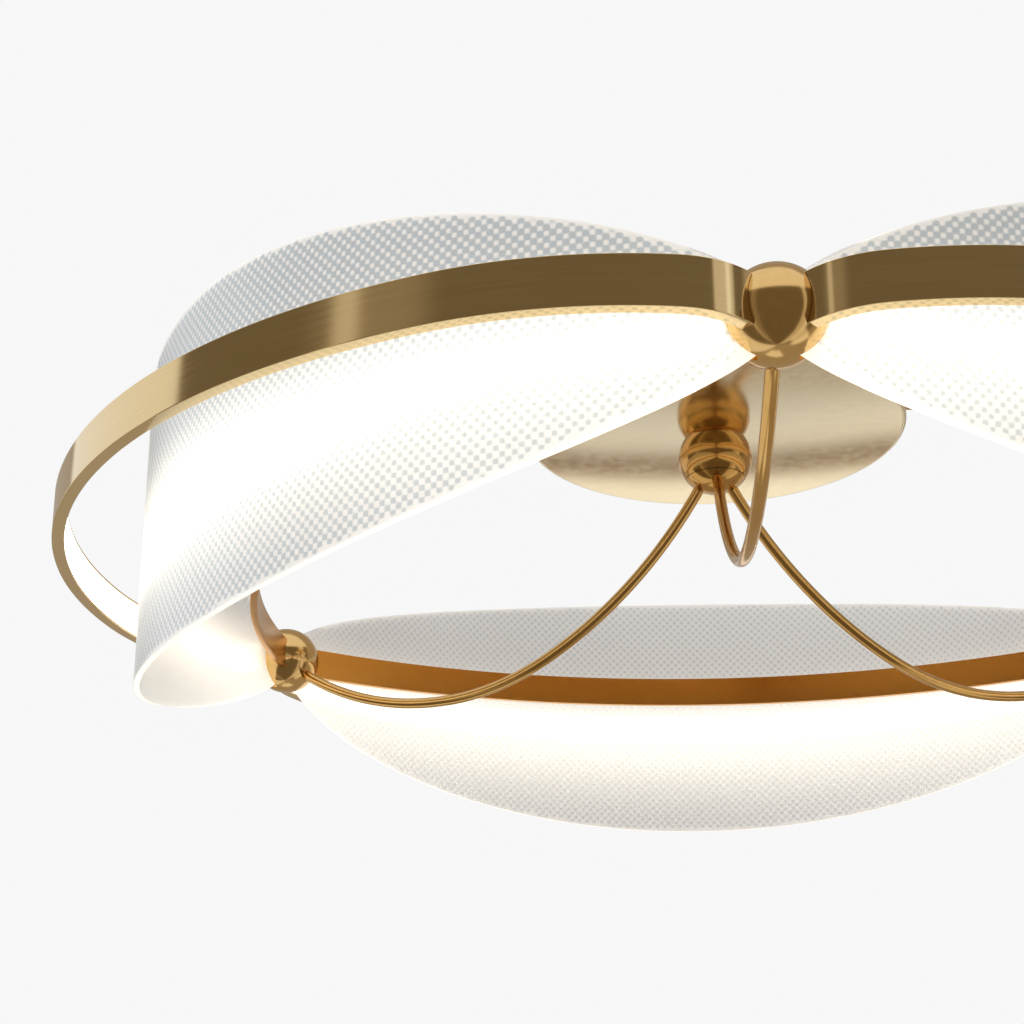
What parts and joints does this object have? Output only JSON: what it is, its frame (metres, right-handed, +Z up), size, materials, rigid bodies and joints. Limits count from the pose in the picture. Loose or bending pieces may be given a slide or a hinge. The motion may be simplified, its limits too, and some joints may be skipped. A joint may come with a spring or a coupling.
{
  "type": "ring ceiling light",
  "caption": "Ceiling light with a flat round canopy, bent arms to joint balls, and a ring of bowed brass bands, LED strips and patterned acrylic sheets.",
  "frame": {"origin": "on the lamp's axis in the plane where bracket and canopy meet the ceiling", "axes": "+Z up into the ceiling, the lamp hangs towards -Z; -Y towards joint ball 1; X along the ceiling bracket"},
  "size_m": [0.6916, 0.6788, 0.1921],
  "materials": {
    "band_brass": "satin, clear lacquered",
    "canopy_brass": "polished",
    "ball_brass": "polished",
    "arm_brass": "satin",
    "patterned_acrylic": "clear with a fine diamond relief",
    "frosted_diffuser": "frosted",
    "led_tape": "satin",
    "zinc_steel": "zinc plated",
    "driver_plastic": "fine texture",
    "terminal_plastic": "satin",
    "foam": "matte",
    "cable_sheath": "satin"
  },
  "bodies": {
    "lamp": {"ceiling_bracket": "zinc_steel", "canopy": "canopy_brass", "nipple": "zinc_steel", "lock_nut": "zinc_steel", "lock_washer": "zinc_steel", "driver_case": "driver_plastic", "driver_lid": "driver_plastic", "driver_pad": "foam", "terminal_block": "terminal_plastic", "terminal_screws": "zinc_steel", "terminal_fixing": "zinc_steel", "earth_screw": "zinc_steel", "input_lead": "cable_sheath", "output_lead": "cable_sheath", "hub_ball": "ball_brass", "hub_cap": "ball_brass", "arm_1": "arm_brass", "arm_2": "arm_brass", "arm_3": "arm_brass", "arm_lead_1": "cable_sheath", "arm_lead_2": "cable_sheath", "arm_lead_3": "cable_sheath", "joint_ball_1": "ball_brass", "joint_ball_2": "ball_brass", "joint_ball_3": "ball_brass", "joint_plug_1": "ball_brass", "joint_plug_2": "ball_brass", "joint_plug_3": "ball_brass", "outer_band_1": "band_brass", "outer_band_2": "band_brass", "outer_band_3": "band_brass", "led_strip_1": "led_tape", "led_strip_2": "led_tape", "led_strip_3": "led_tape", "strip_leads": "cable_sheath", "diffuser_1": "frosted_diffuser", "diffuser_2": "frosted_diffuser", "diffuser_3": "frosted_diffuser", "shade_1": "patterned_acrylic", "shade_2": "patterned_acrylic", "shade_3": "patterned_acrylic", "inner_band_1": "band_brass", "inner_band_2": "band_brass", "inner_band_3": "band_brass"},
    "screw_left": {"canopy_screw_left": "band_brass"},
    "screw_right": {"canopy_screw_right": "band_brass"}
  },
  "joints": [
    {"name": "screw_left_out", "type": "slide", "parent": "lamp", "child": "screw_left", "axis": [-1, 0, 0], "range_m": [0, 0.005]},
    {"name": "screw_right_out", "type": "slide", "parent": "lamp", "child": "screw_right", "axis": [1, 0, 0], "range_m": [0, 0.005]}
  ]
}
